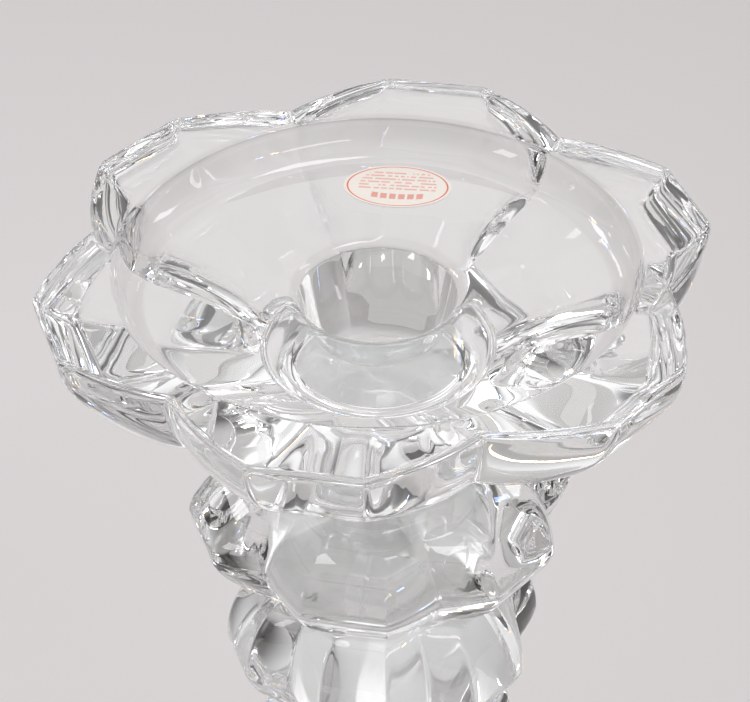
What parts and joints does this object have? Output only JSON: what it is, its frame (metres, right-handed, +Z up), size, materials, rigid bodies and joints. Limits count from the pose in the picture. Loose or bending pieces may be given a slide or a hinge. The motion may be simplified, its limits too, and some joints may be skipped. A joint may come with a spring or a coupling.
{
  "type": "glass candlestick",
  "caption": "Clear crystal candlestick: a petalled drip pan with a candle well, on a stem of petalled knops over a spreading petalled foot.",
  "frame": {"origin": "centre of the face that the foot stands on", "axes": "+Z up along the stem, +X towards the middle of one petal"},
  "size_m": [0.1026, 0.0972, 0.2033],
  "materials": {
    "clear_glass": "clear, fire-polished and cut facets, glossy",
    "clear_adhesive": "clear cured adhesive film",
    "label_paper": "matt cream paper label with a red border"
  },
  "bodies": {
    "root": {"drip_pan": "clear_glass", "pan_label": "label_paper", "pan_bond": "clear_adhesive", "knop_1": "clear_glass", "knop_bond_1": "clear_adhesive", "knop_2": "clear_glass", "knop_bond_2": "clear_adhesive", "knop_3": "clear_glass", "knop_bond_3": "clear_adhesive", "knop_4": "clear_glass", "knop_bond_4": "clear_adhesive", "knop_5": "clear_glass", "knop_bond_5": "clear_adhesive", "knop_6": "clear_glass", "foot_bond": "clear_adhesive", "foot": "clear_glass"}
  },
  "joints": []
}
